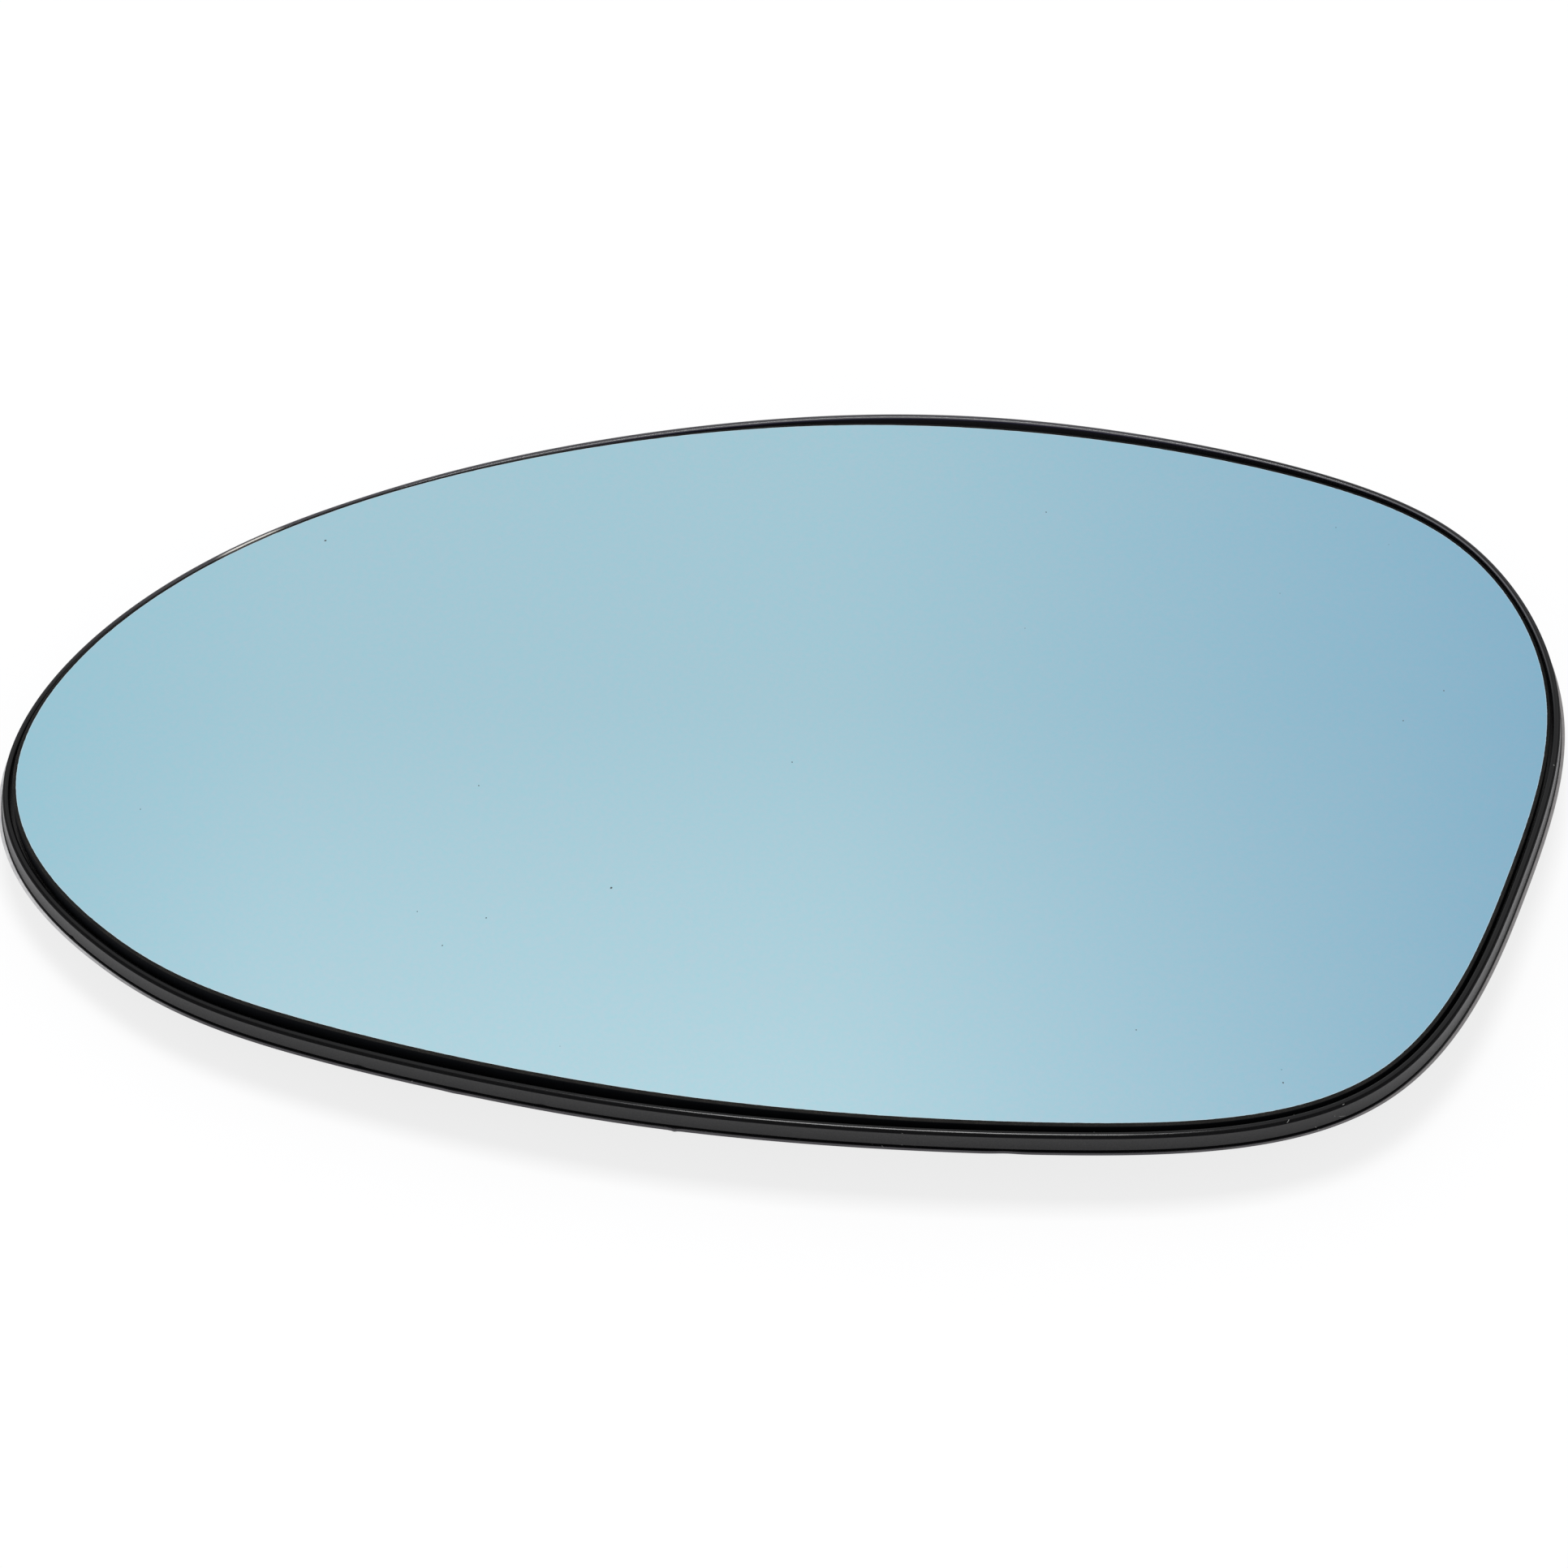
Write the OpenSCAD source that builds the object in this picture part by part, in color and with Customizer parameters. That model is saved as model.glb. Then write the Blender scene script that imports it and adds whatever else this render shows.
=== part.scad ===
// Door mirror glass: a convex mirror bonded into its moulded carrier, lying face up.
// The axis of the clip collar is the Z axis, and the collar's free end stands on Z = 0.
// +X points to the broad inner end of the glass and +Y to its upper long edge.

/* [Glass] */
// Length of the mirror face, from the narrow outer end to the broad inner end
glass_len = 172; // [150:1:200]
// Height of the mirror face, from the lower long edge to the upper one
glass_h = 102; // [90:1:120]
// Thickness of the glass
glass_t = 1.8; // [1.6:0.1:2.4]
// Radius of the convex mirror face
dome_r = 1400; // [1200:50:2000]
// Width of the ground bevel round the mirror face
bevel_w = 0.4; // [0.2:0.05:0.6]
// Depth of that bevel at the side of the glass
bevel_d = 0.12; // [0.05:0.01:0.3]

/* [Heater mat] */
// Thickness of the heater mat with its adhesive on both sides
mat_t = 0.5; // [0.3:0.1:1]
// How far the mat stays inside the edge of the mirror face
mat_inset = 1.5; // [0.5:0.5:5]

/* [Carrier plate] */
// Thickness of the plate behind the glass
plate_t = 1.5; // [1.2:0.1:2.5]

/* [Rim] */
// Gap between the ground edge of the glass and the lip
lip_gap = 0.4; // [0.2:0.05:0.8]
// How much wider the gap is along the long edges than at the two ends
side_gap = 0.25; // [0:0.05:0.4]
// Width of the lip
lip_w = 0.8; // [0.7:0.05:1.6]
// Rounding of the lip's inner corner
lip_inner_r = 0.15; // [0.05:0.05:0.2]
// Rounding of the lip's outer corner
lip_outer_r = 0.45; // [0.2:0.05:0.45]
// How far the glass stands above the lip at the narrow outer end
proud_outer = 1.15; // [0.5:0.05:1.2]
// How far the lip stands above the glass at the broad inner end
lip_over = 0.35; // [0:0.05:0.4]
// Depth of the wall below the lip, down to the parting line
wall_h = 2.2; // [1.6:0.1:2.6]
// Draft of the wall, as its spread over that depth
wall_draft = 0.2; // [0.05:0.05:0.4]
// Depth of the notch along the parting line
notch_d = 0.15; // [0.05:0.05:0.25]
// Height of the notch along the parting line
notch_h = 0.25; // [0.15:0.05:0.3]
// Depth of the foot's lower edge below the lip, at the middle of the carrier
foot_drop = 2.85; // [2.8:0.05:3.5]
// Radius over which the foot's lower edge is domed
foot_r = 1500; // [1400:20:1600]
// Spread of the foot beyond the parting line
foot_flare = 0.45; // [0.1:0.05:0.6]

/* [Clip collar] */
// Height of the collar below the plate
collar_h = 10; // [9:0.5:14]
// Inner radius of the collar
collar_bore_r = 25; // [20:0.5:28]
// Wall of the collar
collar_wall = 2; // [1.5:0.1:3]
// Number of slots that part the collar's free end into fingers
slot_count = 6; // [3:1:8]
// Width of a slot
slot_w = 2.5; // [1.5:0.1:4]
// Depth of a slot from the free end
slot_h = 5.5; // [4:0.5:7]
// Depth of the snap groove in the collar's bore
snap_d = 0.6; // [0.3:0.1:0.9]
// Height of the snap groove
snap_h = 1.2; // [0.8:0.1:2]
// Distance of the snap groove from the free end
snap_z = 1.5; // [1:0.1:2]

/* [Ribs] */
// Number of ribs that run out from the collar
rib_count = 6; // [4:1:8]
// Thickness of each rib
rib_t = 1.4; // [1:0.1:2]
// Height of the ribs' lower edge above the collar's free end
rib_floor = 7.4; // [7:0.1:7.8]
// Distance of the edge rib from the edge of the mirror face
edge_rib_inset = 8; // [5:0.5:15]

/* [Terminals] */
// Width of a blade terminal
blade_w = 6.3; // [4.8:0.1:6.3]
// Thickness of a blade terminal
blade_t = 0.8; // [0.5:0.1:0.8]
// Length of the blade below the bend
blade_len = 7; // [5:0.5:8]
// Length of the foot that is riveted to the mat
tab_len = 7; // [6:0.5:9]
// Radius inside the bend
bend_r = 0.6; // [0.3:0.1:1]
// Distance between the middles of the two terminals
blade_pitch = 15; // [12:0.5:20]
// Distance of the terminals from the collar's axis
blade_x = 45; // [40:0.5:50]
// Clearance of the foot and the rivet in the window
window_gap = 1.3; // [0.5:0.1:2]
// Radius of the rivet's shank
rivet_r = 1.2; // [0.8:0.1:1.5]
// Radius of the rivet's head
rivet_head_r = 2.2; // [1.8:0.1:2.6]
// Thickness of the rivet's head
rivet_head_t = 0.4; // [0.2:0.1:0.6]

/* [Hidden] */

// Spheres this large need many facets to keep their shape
dome_fn = 256;
round_fn = 96;
small_fn = 48;
// Overlap of solids that are joined, and overrun of cuts
bite = 1;
// Seating clearance of the metal parts
seat = 0.02;

// Poles of the closed curve that the edge of the mirror face follows, from the inner end
// over the upper edge, the outer end and the lower edge. They set its proportions only.
edge_poles = [
    [88.5, 13.5], [81.5, 36], [63.5, 48], [5.5, 59], [-65.5, 41.5], [-93.5, 4],
    [-75, -22.5], [-56, -33], [-13, -45.5], [30.5, -48.5], [67.5, -46], [81, -11]
];
pole_count = len(edge_poles);
steps = 8;
edge_count = pole_count * steps;

// Levels at the middle of the dome
plate_z = collar_h + plate_t;
mat_z = plate_z + mat_t;
face_z = mat_z + glass_t;

// Distances outward from the edge of the mirror face, at the two ends
lip_in = bevel_w + lip_gap;
lip_out = lip_in + lip_w;
wall_out = lip_out + wall_draft;
foot_out = wall_out + foot_flare;

// Closed uniform cubic spline through the poles, and its direction
function pole(i) = edge_poles[(i + pole_count) % pole_count];
function spline(i, t) =
    (pole(i - 1) * pow(1 - t, 3) + pole(i) * (3 * pow(t, 3) - 6 * t * t + 4)
     + pole(i + 1) * (-3 * pow(t, 3) + 3 * t * t + 3 * t + 1) + pole(i + 2) * pow(t, 3)) / 6;
function spline_run(i, t) =
    (pole(i + 1) * (-3 * t * t + 2 * t + 1) + pole(i + 2) * t * t
     - pole(i - 1) * pow(1 - t, 2) + pole(i) * (3 * t * t - 4 * t)) / 2;

raw_edge = [for (i = [0 : pole_count - 1]) for (k = [0 : steps - 1]) spline(i, k / steps)];
raw_run = [for (i = [0 : pole_count - 1]) for (k = [0 : steps - 1]) spline_run(i, k / steps)];
raw_x = [for (p = raw_edge) p.x];
raw_y = [for (p = raw_edge) p.y];
stretch_x = glass_len / (max(raw_x) - min(raw_x));
stretch_y = glass_h / (max(raw_y) - min(raw_y));
face_edge = [for (p = raw_edge) [p.x * stretch_x, p.y * stretch_y]];
face_out = [for (d = raw_run) let (n = [d.y * stretch_y, -d.x * stretch_x]) n / norm(n)];
outer_x = min([for (p = face_edge) p.x]);

// The face's edge moved outward by s, in plan
function edge_at(k, s) = face_edge[k] + s * face_out[k];
function outline(s) = [for (k = [0 : edge_count - 1]) edge_at(k, s)];

// Height of a sphere of radius r below its top, and of the glass above the lip, at a place in plan
function sag(p, r) = r - sqrt(r * r - p.x * p.x - p.y * p.y);
function proud(p) = proud_outer - (proud_outer + lip_over) * (p.x - outer_x) / glass_len;

// What the height of a corner of a swept section is measured from
ON_DOME = 0;
ON_LIP = 1;
ON_FOOT = 2;
function datum(p, on) =
    on == ON_DOME ? face_z - sag(p, dome_r)
    : on == ON_LIP ? face_z - sag(p, dome_r) - proud(p)
    : face_z - sag(p, foot_r) - proud(p);
function swept_point(k, c, spread) =
    let (p = edge_at(k, c[0] + spread * pow(face_out[k].y, 2))) [p.x, p.y, datum(p, c[2]) - c[1]];

// A closed section of corners [outward, down, datum], carried once round the edge of the face.
// It stands off by spread more where the edge runs along the part than where it runs across.
module edge_sweep(section, spread) {
    m = len(section);
    points = [for (k = [0 : edge_count - 1]) for (c = section) swept_point(k, c, spread)];
    faces = [for (k = [0 : edge_count - 1]) for (j = [0 : m - 1])
        let (k2 = (k + 1) % edge_count, j2 = (j + 1) % m)
        for (side = [0, 1])
            side == 0 ? [k * m + j, k2 * m + j, k2 * m + j2] : [k * m + j, k2 * m + j2, k * m + j2]];
    polyhedron(points, faces, convexity = 8);
}

// The prism inside the edge moved outward by s, from the ground to above the glass
module edge_prism(s) {
    linear_extrude(height = face_z + bite) polygon(outline(s));
}

// The shell between two depths below the mirror face
module dome_shell(upper, lower) {
    translate([0, 0, face_z - dome_r])
        difference() {
            sphere(r = dome_r - upper, $fn = dome_fn);
            sphere(r = dome_r - lower, $fn = dome_fn);
        }
}

// Puts its children on the underside of the mat at a place in plan, square to the dome there
module on_mat_underside(x, y) {
    lean_x = asin(y / dome_r);
    lean_y = asin(x / dome_r);
    z = face_z - glass_t - mat_t - seat - sag([x, y], dome_r);
    translate([x, y, z]) rotate([-lean_x, lean_y, 0]) children();
}

// The mirror: a convex glass with a shallow ground bevel all round its face
module mirror_glass() {
    over = 0.2;
    slope = bevel_d / bevel_w;
    bevel_cut = [[-over, -over * slope, ON_DOME], [bevel_w + over, bevel_d + over * slope, ON_DOME],
                 [bevel_w + over, -over, ON_DOME]];
    color("lightblue")
        difference() {
            intersection() {
                edge_prism(bevel_w);
                dome_shell(0, glass_t);
            }
            edge_sweep(bevel_cut, 0);
        }
}

// The heater mat that bonds the glass to the plate
module heater_mat() {
    color("dimgray")
        intersection() {
            edge_prism(-mat_inset);
            dome_shell(glass_t, glass_t + mat_t);
        }
}

// Section of the rim: lip, drafted wall, parting notch, flared foot and the slope below it,
// rooted inside the plate
function arc_corners(r, from, to, n, s0, d0) =
    [for (i = [0 : n]) let (a = from + (to - from) * i / n) [s0 + r * sin(a), d0 - r * cos(a), ON_LIP]];
function rim_section() =
    let (stack = glass_t + mat_t, root = -3)
    concat(
        [[root, stack + plate_t * 0.7, ON_DOME], [root, stack + plate_t * 0.3, ON_DOME],
         [lip_in, stack + plate_t * 0.3, ON_DOME]],
        arc_corners(lip_inner_r, -90, 0, 2, lip_in + lip_inner_r, lip_inner_r),
        arc_corners(lip_outer_r, 0, 90, 4, lip_out - lip_outer_r, lip_outer_r),
        [[wall_out, wall_h, ON_LIP],
         [wall_out - notch_d, wall_h + notch_h * 0.2, ON_LIP],
         [wall_out - notch_d, wall_h + notch_h * 0.8, ON_LIP],
         [wall_out, wall_h + notch_h, ON_LIP],
         [foot_out, foot_drop, ON_FOOT],
         [lip_in, stack + plate_t * 0.9, ON_DOME]]);

module rim() {
    edge_sweep(rim_section(), side_gap);
}

module plate() {
    intersection() {
        edge_prism(bevel_w);
        dome_shell(glass_t + mat_t, glass_t + mat_t + plate_t);
    }
}

// The collar: a slotted ring with a snap groove in its bore and eased ends on its fingers
module clip_collar() {
    r_in = collar_bore_r;
    r_out = collar_bore_r + collar_wall;
    ease = collar_wall * 0.25;
    top = collar_h + plate_t / 2 - sag([r_out, 0], dome_r);
    difference() {
        rotate_extrude($fn = round_fn)
            polygon([[r_in, 0], [r_out - ease, 0], [r_out, ease], [r_out, top], [r_in, top],
                     [r_in, snap_z + snap_h], [r_in + snap_d, snap_z + snap_h - snap_d / 2],
                     [r_in + snap_d, snap_z + snap_d / 2], [r_in, snap_z]]);
        for (i = [0 : slot_count - 1])
            rotate([0, 0, (i + 0.5) * 360 / slot_count])
                translate([r_in - bite, -slot_w / 2, -bite])
                    cube([collar_wall + 2 * bite, slot_w, slot_h + bite]);
    }
}

// Ribs that run out from the collar to the edge rib, and the edge rib itself
module ribs() {
    rib_top = collar_h + plate_t / 2;
    intersection() {
        union() {
            for (i = [0 : rib_count - 1])
                rotate([0, 0, (i + 0.5) * 360 / rib_count])
                    translate([collar_bore_r + collar_wall / 2, -rib_t / 2, rib_floor])
                        cube([glass_len, rib_t, rib_top - rib_floor]);
            translate([0, 0, rib_floor])
                linear_extrude(height = rib_top - rib_floor)
                    difference() {
                        polygon(outline(-edge_rib_inset));
                        polygon(outline(-edge_rib_inset - rib_t));
                    }
        }
        edge_prism(-edge_rib_inset);
        // The ribs end inside the plate, however low the dome is there
        translate([0, 0, face_z - dome_r])
            sphere(r = dome_r - glass_t - mat_t - plate_t / 2, $fn = dome_fn);
    }
}

// Windows in the plate for the two terminals
window_x = tab_len + 2 * window_gap;
window_y = blade_w + 2 * window_gap;
module terminal_windows() {
    for (side = [-1, 1])
        translate([blade_x - window_x / 2, side * blade_pitch / 2 - window_y / 2, 0])
            cube([window_x, window_y, face_z - glass_t]);
}

// The moulded carrier: plate, rim, clip collar and ribs in one piece
module carrier() {
    color("#26282a")
        difference() {
            union() {
                plate();
                rim();
                clip_collar();
                ribs();
            }
            terminal_windows();
        }
}

// Bent section of a terminal: the tab lies on the mat, the blade points to the ground
module terminal_section() {
    square_end = tab_len / 2 - bend_r - blade_t;
    translate([-tab_len / 2, -blade_t]) square([tab_len / 2 + square_end, blade_t]);
    translate([tab_len / 2 - blade_t, -bend_r - blade_t - blade_len]) square([blade_t, blade_len]);
    translate([square_end, -bend_r - blade_t])
        intersection() {
            difference() {
                circle(r = bend_r + blade_t, $fn = small_fn);
                circle(r = bend_r, $fn = small_fn);
            }
            square(bend_r + blade_t);
        }
}

// A blade terminal: tab with its rivet hole, bend, and blade with a tapered tip
module terminal(y) {
    tip = blade_w * 0.2;
    rivet_x = -tab_len / 2 + rivet_head_r + seat;
    color("silver")
        on_mat_underside(blade_x, y)
            difference() {
                rotate([90, 0, 0])
                    translate([0, 0, -blade_w / 2])
                        linear_extrude(height = blade_w) terminal_section();
                translate([rivet_x, 0, -blade_t - bite])
                    cylinder(r = rivet_r + seat, h = blade_t + 2 * bite, $fn = small_fn);
                for (side = [-1, 1])
                    translate([0, side * blade_w / 2, -bend_r - blade_t - blade_len])
                        rotate([45, 0, 0])
                            translate([0, -tip / 2, -tip / 2]) cube([tab_len, tip, tip]);
            }
}

// The tubular rivet that joins a terminal to the mat
module rivet(y) {
    bore_r = rivet_r * 0.5;
    rivet_x = -tab_len / 2 + rivet_head_r + seat;
    color("gold")
        on_mat_underside(blade_x, y)
            translate([rivet_x, 0, -blade_t - rivet_head_t])
                difference() {
                    union() {
                        cylinder(r = rivet_head_r, h = rivet_head_t, $fn = small_fn);
                        cylinder(r = rivet_r, h = blade_t + rivet_head_t, $fn = small_fn);
                    }
                    translate([0, 0, -bite]) cylinder(r = bore_r, h = bite + blade_t, $fn = small_fn);
                }
}

module terminal_upper() { terminal(blade_pitch / 2); }
module terminal_lower() { terminal(-blade_pitch / 2); }
module rivet_upper() { rivet(blade_pitch / 2); }
module rivet_lower() { rivet(-blade_pitch / 2); }

mirror_glass();
heater_mat();
carrier();
terminal_upper();
terminal_lower();
rivet_upper();
rivet_lower();
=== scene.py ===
import logging
import math
from dataclasses import dataclass, field
from enum import Enum
from typing import Any, Sequence

import bpy
import numpy as np
from bpy.types import Material, Node, NodeSocket, Object
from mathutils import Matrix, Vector


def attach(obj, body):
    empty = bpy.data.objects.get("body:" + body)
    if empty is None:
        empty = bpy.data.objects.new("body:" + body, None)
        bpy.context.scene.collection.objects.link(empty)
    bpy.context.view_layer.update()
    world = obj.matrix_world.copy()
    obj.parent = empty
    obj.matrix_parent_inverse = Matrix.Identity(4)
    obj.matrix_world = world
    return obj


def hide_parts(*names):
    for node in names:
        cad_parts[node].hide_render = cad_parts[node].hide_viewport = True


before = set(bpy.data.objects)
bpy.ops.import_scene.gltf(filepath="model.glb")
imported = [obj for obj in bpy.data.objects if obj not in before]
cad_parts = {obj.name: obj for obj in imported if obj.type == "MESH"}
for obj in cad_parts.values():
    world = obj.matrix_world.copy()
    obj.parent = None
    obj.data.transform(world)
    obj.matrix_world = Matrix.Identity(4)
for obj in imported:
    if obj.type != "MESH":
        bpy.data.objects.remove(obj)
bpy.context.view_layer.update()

# A door mirror glass lying face up: a convex blue tinted mirror in its black moulded carrier.
# All shapes are worked out in millimetres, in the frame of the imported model, and put into
# Blender in metres. +X is the broad inner end, +Y the upper long edge, Z the collar's axis.

log = logging.getLogger("door_mirror_glass")
METRES_PER_MM = 0.001
PIXELS_PER_MM = 11.0
Array = np.ndarray
Pair = tuple[float, float]
Triple = tuple[float, float, float]

# Samples between two poles of the mirror edge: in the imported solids, and on each piece here.
SOLID_STEPS = 8
RIM_STEPS, PLATE_STEPS, GLASS_STEPS = 120, 40, 200
SPECK_CORNERS = 9
SPECK_TURN = np.linspace(0, 2 * math.pi, SPECK_CORNERS, endpoint=False)

# The dull finish is painted shade: a darker, less glossy copy of the black plastic.
# The finish of the foot's outer side is a painted reflection of the floor, paler towards the ends.
SATIN, POLISHED, PAINTED_SHADE, FOOT_REFLECTION, LIP_TOP, WORN = range(6)  # finishes of the moulding
FACE, GROUND, PAINTED, ARRIS = range(4)  # finishes of the glass
WHITE = (1.0, 1.0, 1.0, 1.0)
WORN_ENDS = (-64.0, -58.6)  # along X, on the upper long edge
SOFT_TURN = 0.006
MIX_FIRST, MIX_SECOND, MIX_RESULT = 6, 7, 2  # sockets of a Mix node that mixes colours


class Datum(Enum):
    """What the depth of a corner of the rim's section is measured from."""

    DOME = "dome"
    LIP = "lip"
    FOOT = "foot"


@dataclass(frozen=True)
class MirrorSizes:
    """Sizes of the real part in millimetres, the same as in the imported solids."""

    glass_len: float = 172.0
    glass_h: float = 102.0
    glass_t: float = 1.8
    dome_r: float = 1400.0
    bevel_w: float = 0.4
    bevel_d: float = 0.12
    mat_t: float = 0.5
    plate_t: float = 1.5
    lip_gap: float = 0.4
    side_gap: float = 0.25
    lip_w: float = 0.8
    lip_outer_r: float = 0.45
    proud_outer: float = 1.15
    lip_over: float = 0.35
    wall_h: float = 2.2
    wall_draft: float = 0.2
    notch_d: float = 0.15
    notch_h: float = 0.25
    foot_drop: float = 2.85
    foot_r: float = 1500.0
    foot_flare: float = 0.45
    collar_h: float = 10.0
    collar_bore_r: float = 25.0
    collar_wall: float = 2.0
    slot_count: int = 6
    slot_w: float = 2.5
    slot_h: float = 5.5
    snap_d: float = 0.6
    snap_h: float = 1.2
    snap_z: float = 1.5
    rib_count: int = 6
    rib_t: float = 1.4
    rib_floor: float = 7.4
    edge_rib_inset: float = 8.0
    window_x: Pair = (40.2, 49.8)
    window_y: Pair = (3.05, 11.95)

    @property
    def stack(self) -> float:
        """Depth of the plate's top below the mirror face."""
        return self.glass_t + self.mat_t

    @property
    def face_z(self) -> float:
        """Height of the mirror face at the collar's axis."""
        return self.collar_h + self.plate_t + self.stack

    @property
    def lip_in(self) -> float:
        """Distance of the lip's inner wall outward from the edge of the mirror face, at its two ends."""
        return self.bevel_w + self.lip_gap

    @property
    def lip_out(self) -> float:
        """Distance of the lip's outer side from the same edge."""
        return self.lip_in + self.lip_w

    @property
    def wall_out(self) -> float:
        """Distance of the wall's lower end from the same edge."""
        return self.lip_out + self.wall_draft

    @property
    def foot_out(self) -> float:
        """Distance of the foot's lower edge from the same edge."""
        return self.wall_out + self.foot_flare


EDGE_POLES = np.array([
    [88.5, 13.5], [81.5, 36], [63.5, 48], [5.5, 59], [-65.5, 41.5], [-93.5, 4],
    [-75, -22.5], [-56, -33], [-13, -45.5], [30.5, -48.5], [67.5, -46], [81, -11],
])


def unit(ways: Array) -> Array:
    """The same directions with a length of 1, where the last axis holds their coordinates."""
    return ways / np.linalg.norm(ways, axis=-1, keepdims=True)


def nearest(places: Array, targets: Array | Sequence[float]) -> Any:
    """Number of the place that is nearest to each target."""
    return np.argmin(np.linalg.norm(places - np.array(targets), axis=-1), axis=-1)


def added(name: str, data: bpy.types.ID) -> Object:
    """Adds an object with a mesh, camera or lamp to the scene."""
    made = bpy.data.objects.new(name, data)
    bpy.context.scene.collection.objects.link(made)
    return made


class MirrorEdge:
    """The closed edge of the mirror face in plan, a uniform cubic spline through its poles."""

    def __init__(self, sizes: MirrorSizes, per_pole: int) -> None:
        """Samples the edge.

        Args:
            sizes: Sizes of the part.
            per_pole: Samples between two poles.
        """
        coarse, _ = self._sample(SOLID_STEPS)
        stretch = np.array([sizes.glass_len, sizes.glass_h]) / np.ptp(coarse, axis=0)
        raw, run = self._sample(per_pole)
        self.points = raw * stretch
        self.outer_x = (coarse * stretch)[:, 0].min()
        run = run * stretch
        self.outward = unit(np.stack([run[:, 1], -run[:, 0]], axis=1))
        steps = np.linalg.norm(np.roll(self.points, -1, axis=0) - self.points, axis=1)
        self.travel = np.concatenate([[0.0], np.cumsum(steps)[:-1]])
        self.length = float(steps.sum())

    @staticmethod
    def _sample(per_pole: int) -> tuple[Array, Array]:
        """Places and directions on the spline: four poles weighted by cubic basis functions.

        Args:
            per_pole: Samples between two poles.

        Returns:
            The places and the directions, one row each.
        """
        t = (np.arange(per_pole) / per_pole)[None, :, None]
        before, here, after, beyond = (np.roll(EDGE_POLES, k, axis=0)[:, None] for k in (1, 0, -1, -2))
        place = (before * (1 - t) ** 3 + here * (3 * t ** 3 - 6 * t * t + 4)
                 + after * (-3 * t ** 3 + 3 * t * t + 3 * t + 1) + beyond * t ** 3) / 6
        run = (after * (-3 * t * t + 2 * t + 1) + beyond * t * t
               - before * (1 - t) ** 2 + here * (3 * t * t - 4 * t)) / 2
        return place.reshape(-1, 2), run.reshape(-1, 2)

    def offset(self, outward: Array | float) -> Array:
        """The edge moved outward in plan, by one distance for all samples or one for each."""
        return self.points + np.reshape(outward, (-1, 1)) * self.outward


@dataclass(frozen=True)
class MirrorHeights:
    """Heights of the dome, lip and foot over any place in plan, from the sizes and the outer end's X."""

    sizes: MirrorSizes
    outer_x: float

    def sag(self, x: Array, y: Array, radius: float) -> Array:
        """Drop of a sphere below its top: radius minus the root of radius squared less x, y squared."""
        return radius - np.sqrt(radius * radius - x * x - y * y)

    def proud(self, x: Array) -> Array:
        """Height of the glass above the lip, which falls evenly from the outer to the inner end."""
        s = self.sizes
        return s.proud_outer - (s.proud_outer + s.lip_over) * (x - self.outer_x) / s.glass_len

    def below_dome(self, plan: Array, down: Array | float) -> Array:
        """Points over places in plan, at a depth below the mirror face."""
        z = self.of(plan[..., 0], plan[..., 1], Datum.DOME) - down
        return np.dstack([plan, z[..., None]])

    def of(self, x: Array, y: Array, datum: Datum) -> Array:
        """Height of a datum surface over places in plan.

        Args:
            x: Places along X.
            y: Places along Y.
            datum: Which surface.

        Returns:
            The heights in millimetres.
        """
        s = self.sizes
        if datum is Datum.DOME:
            return s.face_z - self.sag(x, y, s.dome_r)
        radius = s.dome_r if datum is Datum.LIP else s.foot_r
        return s.face_z - self.sag(x, y, radius) - self.proud(x)


@dataclass
class Shell:
    """Points in millimetres with the faces over them, and a finish number for each face."""

    points: Array
    faces: list[tuple[int, ...]]
    finish: list[int]

    def joined(self, other: "Shell") -> "Shell":
        """This shell and another one as one, without merging anything."""
        shift = len(self.points)
        faces = self.faces + [tuple(i + shift for i in f) for f in other.faces]
        return Shell(np.vstack([self.points, other.points]), faces, self.finish + other.finish)


def grid_shell(points: Array, wrap_rows: bool, wrap_columns: bool, finish: Sequence[int] | int = 0) -> Shell:
    """A shell of four-sided faces over a grid of points.

    Args:
        points: Array of rows, columns and coordinates.
        wrap_rows: Whether the last row joins the first one.
        wrap_columns: Whether the last column joins the first one.
        finish: One finish number, or one for each column of faces.

    Returns:
        The shell.
    """
    rows, columns = points.shape[:2]
    r = np.arange(rows if wrap_rows else rows - 1)[:, None]
    c = np.arange(columns if wrap_columns else columns - 1)[None, :]
    r2, c2 = (r + 1) % rows, (c + 1) % columns
    corners = (r * columns + c, r * columns + c2, r2 * columns + c2, r2 * columns + c)
    faces = np.stack([k.ravel() for k in corners], axis=1).tolist()
    worn = np.broadcast_to(finish, corners[0].shape).ravel().tolist()
    return Shell(points.reshape(-1, 3), [tuple(f) for f in faces], worn)


def arc(radius: float, start: float, end: float, steps: int, out: float, down: float) -> list[Pair]:
    """Corners of a rounding: centre plus radius times the sine outward and minus the cosine down.

    Args:
        radius: Radius of the rounding.
        start: First angle from straight up, in degrees.
        end: Last angle.
        steps: Number of chords.
        out: Outward place of the centre.
        down: Depth of the centre.

    Returns:
        Pairs of outward place and depth.
    """
    a = np.radians(np.linspace(start, end, steps + 1))
    return [(out + radius * math.sin(k), down - radius * math.cos(k)) for k in a]


def capped_shell(points: Array) -> Shell:
    """A shell from the cross sections of a beam, closed by a flat face at each end.

    Args:
        points: Array of cross sections, their corners and coordinates.

    Returns:
        The shell.
    """
    shell = grid_shell(points, False, True)
    rows, columns = points.shape[:2]
    first = tuple(range(columns - 1, -1, -1))
    last = tuple(range((rows - 1) * columns, rows * columns))
    return Shell(shell.points, shell.faces + [first, last], shell.finish + [0, 0])


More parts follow.
